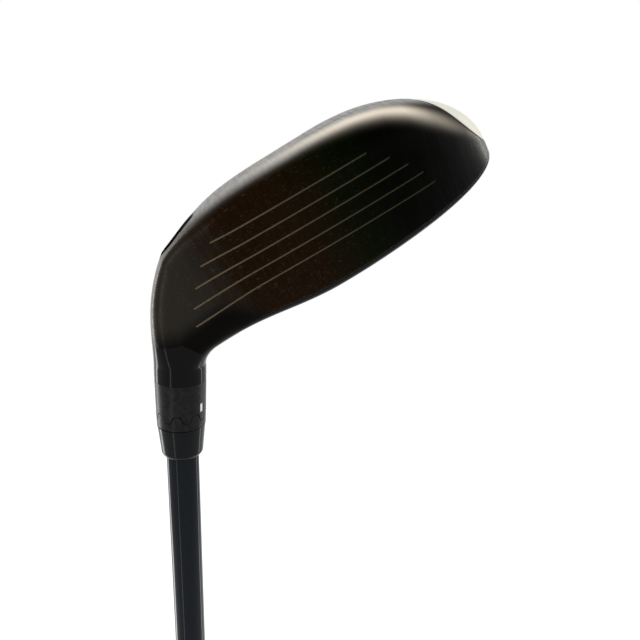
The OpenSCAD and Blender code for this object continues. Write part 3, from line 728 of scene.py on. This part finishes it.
class Tree:
    """A material's node tree with short ways to make and join nodes."""

    def __init__(self, name):
        """A new material of that name."""
        self.mat = bpy.data.materials.new(name)
        self.mat.use_nodes = True
        self.nodes, self.links = self.mat.node_tree.nodes, self.mat.node_tree.links
        self.bsdf = self.nodes["Principled BSDF"]

    def node(self, kind, inputs=None, **props):
        """A node with its inputs linked or set."""
        n = self.nodes.new(kind)
        for k, v in props.items():
            setattr(n, k, v)
        for k, v in (inputs or {}).items():
            if isinstance(v, bpy.types.NodeSocket):
                self.links.new(v, n.inputs[k])
            else:
                n.inputs[k].default_value = v
        return n

    def place(self, source="object", scale=(1, 1, 1), turn=(0, 0, 0)):
        """Object coordinates, or a vector attribute, turned and scaled."""
        if source == "object":
            vec = self.node("ShaderNodeTexCoord").outputs["Object"]
        else:
            vec = self.node("ShaderNodeAttribute", attribute_name=source).outputs["Vector"]
        return self.node("ShaderNodeMapping", {"Vector": vec, "Scale": scale, "Rotation": turn}).outputs[0]

    def noise(self, vector, scale=1.0, detail=3.0, rough=0.5, warp=0.0):
        """Noise from 0 to 1."""
        inputs = {"Vector": vector, "Scale": scale, "Detail": detail, "Roughness": rough, "Distortion": warp}
        return self.node("ShaderNodeTexNoise", inputs).outputs["Fac"]

    def value(self, name):
        """A number attribute of the mesh."""
        return self.node("ShaderNodeAttribute", attribute_name=name).outputs["Fac"]

    def span(self, value, a, b, c=0.0, d=1.0):
        """value from a..b mapped to c..d, clamped and eased."""
        inputs = {"Value": value, "From Min": a, "From Max": b, "To Min": c, "To Max": d}
        return self.node("ShaderNodeMapRange", inputs, interpolation_type="SMOOTHSTEP").outputs[0]

    def toe_distance(self):
        """Distance toward the toe, address frame, millimetres."""
        where = self.node("ShaderNodeAttribute", attribute_name="address").outputs["Vector"]
        return self.node("ShaderNodeSeparateXYZ", {0: where}).outputs[0]

    def seen_by(self, *kinds):
        """1 for rays of any of the kinds, 0 for the rest."""
        path = self.node("ShaderNodeLightPath")
        seen = path.outputs[kinds[0]]
        for kind in kinds[1:]:
            seen = self.math("MAXIMUM", seen, path.outputs[kind])
        return seen

    def math(self, op, a, b=0.0):
        """One sum of two values."""
        return self.node("ShaderNodeMath", {0: a, 1: b}, operation=op).outputs[0]

    def mix(self, fac, a, b):
        """Colour a blended into colour b."""
        n = self.nodes.new("ShaderNodeMix")
        n.data_type = "RGBA"
        for sock, val in ((n.inputs[0], fac), (n.inputs[6], a), (n.inputs[7], b)):
            if isinstance(val, bpy.types.NodeSocket):
                self.links.new(val, sock)
            else:
                sock.default_value = (*val, 1) if isinstance(val, tuple) and len(val) == 3 else val
        return n.outputs[2]

    def bump(self, height, strength, distance, normal=None):
        """Relief from a height."""
        inputs = {"Height": height, "Strength": strength, "Distance": distance}
        if normal is not None:
            inputs["Normal"] = normal
        return self.node("ShaderNodeBump", inputs).outputs[0]

    def finish(self, **sockets):
        """Shader inputs linked or set; gives the material."""
        for k, v in sockets.items():
            key = k.replace("_", " ")
            if isinstance(v, bpy.types.NodeSocket):
                self.links.new(v, self.bsdf.inputs[key])
            else:
                self.bsdf.inputs[key].default_value = (*v, 1) if isinstance(v, tuple) and len(v) == 3 else v
        return self.mat


def give(obj, mat):
    """The material in every slot of the object."""
    if not obj.data.materials:
        obj.data.materials.append(mat)
    for k in range(len(obj.data.materials)):
        obj.data.materials[k] = mat


def brush_marks(t):
    """Fine streaks up the face and a few long scratches across it, in address millimetres."""
    fine = t.noise(t.place("address", (7.0, 0.25, 0.25)), 1.0, 4, 0.6)
    broad = t.noise(t.place("address", (1.1, 0.12, 0.06)), 1.0, 3, 0.5)
    scratch = t.noise(t.place("address", (0.35, 1.5, 1.9), (0, rad(33), 0)), 2.2, 2, 0.4)
    scratch = t.span(scratch, 0.66, 0.72)
    return fine, broad, scratch


def face_finish(t):
    """Brushed dark steel with painted reflection: bronze at the heel, olive mid-face, near black at the toe.
    """
    fine, broad, scratch = brush_marks(t)
    x = t.math("ADD", t.toe_distance(), t.math("MULTIPLY", broad, 14.0))
    # painted reflection: the dark room mirrored in the face, set as colour running from heel to toe
    tone = t.mix(t.span(x, -4, 16), (0.021, 0.019, 0.016), (0.0085, 0.0030, 0.0006))
    tone = t.mix(t.span(x, 26, 50), tone, (0.0012, 0.0028, 0.0001))
    tone = t.mix(t.span(x, 42, 66), tone, (0.0003, 0.0003, 0.0002))
    # brush streaks and scratches fade toward the toe along with the painted reflection
    fade = t.span(x, 25, 62, 1.0, 0.08)
    tone = t.mix(t.math("MULTIPLY", fade, t.span(fine, 0.35, 0.75, 0, 0.30)), tone, (0.022, 0.018, 0.012))
    tone = t.mix(t.math("MULTIPLY", scratch, t.math("MULTIPLY", fade, 0.8)), tone, (0.040, 0.037, 0.030))
    # painted sheen: colour lightened where the surface turns away from the view
    tilt = t.node("ShaderNodeLayerWeight", {"Blend": 0.5}).outputs["Facing"]
    tone = t.mix(t.span(tilt, 0.42, 0.85), tone, (0.085, 0.080, 0.068))
    # painted highlight along the rounded leading edge
    tone = t.mix(t.value("painted_ridge_highlight"), tone, (0.80, 0.71, 0.58))
    tone = t.mix(t.span(t.value("neck"), -7, 1, 0, 0.9), tone, (0.002, 0.002, 0.002))
    rough = t.math("ADD", t.span(broad, 0.3, 0.7, 0.24, 0.34), t.math("MULTIPLY", fine, 0.08))
    return tone, rough, fine


def face_metal():
    """Face finish with worn paint in the score lines, its darkening toward the toe painted shade, and a dark
    joint line.
    """
    t = Tree("face_brushed_steel")
    tone, rough, fine = face_finish(t)
    scored = t.value("scored")
    wear = t.noise(t.place("address", (1, 1, 1)), 1.6, 4, 0.6)
    fill = t.math("MULTIPLY", t.span(scored, 0.25, 0.7), t.span(wear, 0.25, 0.5, 0.55, 1.0))
    # the score-line paint is real; its darkening from heel to toe is painted shade
    paint = t.mix(t.span(t.toe_distance(), -5, 60), (0.15, 0.120, 0.072), (0.042, 0.038, 0.020))
    tone = t.mix(fill, tone, paint)
    tone = t.mix(t.value("seam"), tone, (0.004, 0.004, 0.004))
    metal = t.math("SUBTRACT", 1.0, t.math("MAXIMUM", fill, t.value("seam")))
    rough = t.math("ADD", rough, t.math("MULTIPLY", fill, 0.3))
    return t.finish(Base_Color=tone, Roughness=rough, Metallic=metal, Specular_IOR_Level=LOW_SHEEN,
                    Normal=t.bump(fine, 0.25, 0.00002))


def body_paint():
    """Gloss black neck, pale satin skirt and sole, brushed heel and leading edge with painted light."""
    t = Tree("head_painted_steel")
    tone, rough, fine = face_finish(t)
    speck = t.noise(t.place("address"), 3.0, 3, 0.6)
    peel = t.noise(t.place("address"), 0.9, 2, 0.5)
    neck = t.span(t.value("neck"), -0.08, 0.08)
    brushed = t.span(t.value("brushed"), -0.1, 0.1)
    pale = t.mix(t.span(speck, 0.4, 0.7, 0, 0.25), (0.86, 0.845, 0.73), (0.80, 0.78, 0.67))
    # the brushed band carries the face's painted reflection, painted sheen and painted leading-edge highlight
    colour = t.mix(brushed, pale, tone)
    colour = t.mix(t.value("seam"), colour, (0.004, 0.004, 0.004))
    colour = t.mix(neck, colour, (0.0005, 0.0005, 0.001))
    metal = t.math("MULTIPLY", brushed, t.math("SUBTRACT", 1.0, neck))
    satin = t.math("MULTIPLY", t.math("SUBTRACT", 1.0, brushed), 0.34)
    r = t.math("ADD", t.math("MULTIPLY", rough, brushed), satin)
    r = t.math("ADD", t.math("MULTIPLY", r, t.math("SUBTRACT", 1.0, neck)), t.math("MULTIPLY", neck, 0.10))
    n = t.bump(fine, 0.2, 0.00002, t.bump(peel, 0.04, 0.0001))
    return t.finish(Base_Color=colour, Roughness=r, Metallic=metal, Specular_IOR_Level=LOW_SHEEN, Normal=n)


def black_paint(name, colour, rough, peel=0.03):
    """Gloss paint: dust and hairline marks in the roughness, a slight orange peel."""
    t = Tree(name)
    dust = t.noise(t.place("object", (900, 900, 900)), 1.0, 4, 0.7)
    hair = t.noise(t.place("object", (500, 90, 2600), (0.4, 0.7, 0.2)), 1.0, 2, 0.4)
    wave = t.noise(t.place("object", (420, 420, 420)), 1.0, 2, 0.5)
    r = t.math("ADD", t.span(dust, 0.45, 0.8, rough, rough + 0.10), t.span(hair, 0.62, 0.7, 0, 0.1))
    c = t.mix(t.span(dust, 0.5, 0.8, 0, 0.5), colour, tuple(1.9 * k + 0.003 for k in colour))
    return t.finish(Base_Color=c, Roughness=r, Specular_IOR_Level=LOW_SHEEN, Normal=t.bump(wave, peel, 0.0002))


def anodised():
    """Dark satin anodised aluminium with faint turning lines round the hosel axis."""
    t = Tree("dark_anodised")
    lines = t.noise(t.place("object", (20, 20, 9000)), 1.0, 3, 0.6)
    mottle = t.noise(t.place("object", (700, 700, 700)), 1.0, 4, 0.6)
    c = t.mix(t.span(mottle, 0.3, 0.7), (0.009, 0.009, 0.010), (0.016, 0.016, 0.015))
    c = t.mix(t.span(t.value("tick"), 0.3, 0.7), c, (0.80, 0.80, 0.78))
    r = t.span(lines, 0.3, 0.7, 0.29, 0.38)
    metal = t.span(t.value("tick"), 0.3, 0.7, 0.6, 0.0)
    return t.finish(Base_Color=c, Roughness=r, Metallic=metal, Specular_IOR_Level=LOW_SHEEN,
                    Normal=t.bump(lines, 0.08, 0.00003))


def rubber():
    """Matte rubber: fine pores, greyer where hands rub the high places, darker in the grooves."""
    t = Tree("grip_rubber")
    pores = t.noise(t.place("object", (3000, 3000, 3000)), 1.0, 3, 0.6)
    worn = t.noise(t.place("object", (60, 60, 25)), 1.0, 4, 0.6)
    c = t.mix(t.span(worn, 0.35, 0.7), (0.020, 0.020, 0.021), (0.040, 0.039, 0.038))
    c = t.mix(t.span(t.value("cut"), 0.2, 0.8), c, (0.009, 0.009, 0.009))
    r = t.span(worn, 0.3, 0.7, 0.72, 0.58)
    return t.finish(Base_Color=c, Roughness=r, Normal=t.bump(pores, 0.35, 0.0001))


def bare_steel(name, colour, rough, scale=(4000, 4000, 300)):
    """Machined steel: tool lines in bump and roughness, slight stains in the colour."""
    t = Tree(name)
    tool = t.noise(t.place("object", scale), 1.0, 3, 0.6)
    stain = t.noise(t.place("object", (260, 260, 260)), 1.0, 4, 0.6)
    c = t.mix(t.span(stain, 0.35, 0.75), colour, tuple(0.72 * k for k in colour))
    r = t.math("ADD", t.span(stain, 0.3, 0.7, rough, rough + 0.1), t.math("MULTIPLY", tool, 0.1))
    return t.finish(Base_Color=c, Roughness=r, Metallic=1.0, Normal=t.bump(tool, 0.12, 0.00003))


def plain_fibre(name, colour, dark, scale):
    """Cork or creped paper: grain in colour and bump."""
    t = Tree(name)
    grain = t.noise(t.place("object", scale), 1.0, 5, 0.7)
    c = t.mix(t.span(grain, 0.35, 0.7), dark, colour)
    return t.finish(Base_Color=c, Roughness=0.85, Normal=t.bump(grain, 0.3, 0.0001))


# ---- the club ----
body, cup, crown = make_head()
ring, sleeve = make_index_ring(), make_sleeve()
ferrule, shaft, grip, cap = make_ferrule(), make_shaft(), make_grip(), make_grip_cap()

give(body, body_paint())
give(cup, face_metal())
give(crown, black_paint("crown_gloss_black", (0.003, 0.003, 0.004), 0.08))
dark_metal = anodised()
give(ring, dark_metal)
give(sleeve, dark_metal)
give(ferrule, black_paint("ferrule_gloss_black", (0.003, 0.004, 0.005), 0.14))
give(shaft, black_paint("shaft_lacquer", (0.004, 0.006, 0.009), 0.05, 0.015))
soft_black = rubber()
give(grip, soft_black)
give(cap, soft_black)
tube_steel = bare_steel("hosel_tube_steel", (0.46, 0.45, 0.43), 0.32)
give(nodes["hosel_tube"], tube_steel)
give(nodes["weight_cup"], tube_steel)
give(nodes["weight_pad"], bare_steel("cast_pad_steel", (0.36, 0.36, 0.35), 0.5, (900, 900, 900)))
give(nodes["bolt_washer"], bare_steel("washer_steel", (0.58, 0.58, 0.56), 0.22))
give(nodes["hosel_bolt"], bare_steel("bolt_dark_zinc", (0.20, 0.20, 0.21), 0.3))
give(nodes["sole_weight"], bare_steel("weight_turned_steel", (0.56, 0.55, 0.52), 0.26))
give(nodes["weight_screw"], bare_steel("screw_dark_zinc", (0.20, 0.20, 0.21), 0.3))
give(nodes["tip_plug"], plain_fibre("plug_cork", (0.46, 0.30, 0.17), (0.24, 0.14, 0.07), (1200, 1200, 1200)))
give(nodes["grip_tape"], plain_fibre("tape_paper", (0.55, 0.47, 0.32), (0.44, 0.36, 0.23), (400, 400, 2600)))


# ---- studio ----
PLAIN_LEVEL, FLOOR_GLOW, FLOOR_R, LIGHT_AWAY, LIGHT_TOP = 0.84, 0.5, 1.4, 0.9, 1.35
SEES_BACKGROUND = ("Is Camera Ray", "Is Glossy Ray", "Is Transmission Ray")


def make_world():
    """White for camera, mirror and glass rays; soft plain light for the rest."""
    world = bpy.data.worlds.new("studio")
    bpy.context.scene.world = world
    world.use_nodes = True
    t = Tree.__new__(Tree)
    t.nodes, t.links = world.node_tree.nodes, world.node_tree.links
    seen = t.seen_by(*SEES_BACKGROUND)
    level = t.math("ADD", seen, t.math("MULTIPLY", t.math("SUBTRACT", 1.0, seen), PLAIN_LEVEL))
    back = world.node_tree.nodes["Background"]
    back.inputs["Color"].default_value = (1, 1, 1, 1)
    t.links.new(level, back.inputs["Strength"])


def make_floor():
    """Pale disc; its glow for camera, mirror and glass rays lifts it to white and keeps the shadow."""
    a = np.arange(96) * 2 * math.pi / 96
    rim = np.stack([FLOOR_R * np.cos(a), 1.0 + FLOOR_R * np.sin(a), 0 * a - 0.0002], 1)
    p = np.concatenate([rim, [[0, 1.0, -0.0002]]])
    i = np.arange(96)
    floor, _ = new_mesh("floor", p, [np.stack([i, (i + 1) % 96, 0 * i + 96], 1)])
    t = Tree("floor_pale")
    seen = t.math("MULTIPLY", t.seen_by(*SEES_BACKGROUND), FLOOR_GLOW)
    grain = t.noise(t.place("object", (30, 30, 30)), 1.0, 2, 0.5)
    t.finish(Base_Color=t.mix(grain, (0.80, 0.80, 0.79), (0.82, 0.82, 0.81)), Roughness=0.9,
             Emission_Color=(1.0, 1.0, 1.0), Emission_Strength=seen)
    give(floor, t.mat)


def soft_box(name, angle, width, radiance):
    """Upright strip light that faces the shaft; the angle is from the camera side, leftward negative."""
    a = rad(angle)
    light = bpy.data.lights.new(name, "AREA")
    light.shape, light.size, light.size_y = "RECTANGLE", width, LIGHT_TOP
    light.energy = radiance * math.pi * width * LIGHT_TOP
    light.color = (1.0, 0.98, 0.95)
    obj = bpy.data.objects.new(name, light)
    bpy.context.scene.collection.objects.link(obj)
    spot = Vector((math.sin(a) * LIGHT_AWAY, -math.cos(a) * LIGHT_AWAY, LIGHT_TOP / 2))
    away = Vector((spot.x, spot.y, 0)).normalized()
    side = Vector((0, 0, 1)).cross(away)
    obj.matrix_world = Matrix(((side.x, 0, away.x, spot.x), (side.y, 0, away.y, spot.y),
                               (side.z, 1, away.z, spot.z), (0, 0, 0, 1)))
    obj.visible_camera = False


def make_camera():
    """Camera at the photograph's viewing angle: right and down axes, place, 38.8 mm lens."""
    cam = bpy.data.cameras.new("camera")
    cam.lens, cam.sensor_width, cam.clip_start, cam.clip_end = 690 / 640 * 36, 36, 0.01, 20
    obj = bpy.data.objects.new("camera", cam)
    bpy.context.scene.collection.objects.link(obj)
    right, down = Vector((0.984702, -0.172835, 0.022141)), Vector((-0.030624, -0.296747, -0.954465))
    back = -right.cross(down)
    place_at = Vector((0.00617, -0.18717, 1.0295))
    obj.matrix_world = Matrix(((right.x, -down.x, back.x, place_at.x), (right.y, -down.y, back.y, place_at.y),
                               (right.z, -down.z, back.z, place_at.z), (0, 0, 0, 1)))
    bpy.context.scene.camera = obj


make_world()
make_floor()
soft_box("light_back_left", -124, 0.22, 6.0)
soft_box("light_front_left", -43, 0.06, 5.0)
soft_box("light_right", 108, 0.07, 6.0)
make_camera()
bpy.context.scene.view_settings.view_transform = "Standard"
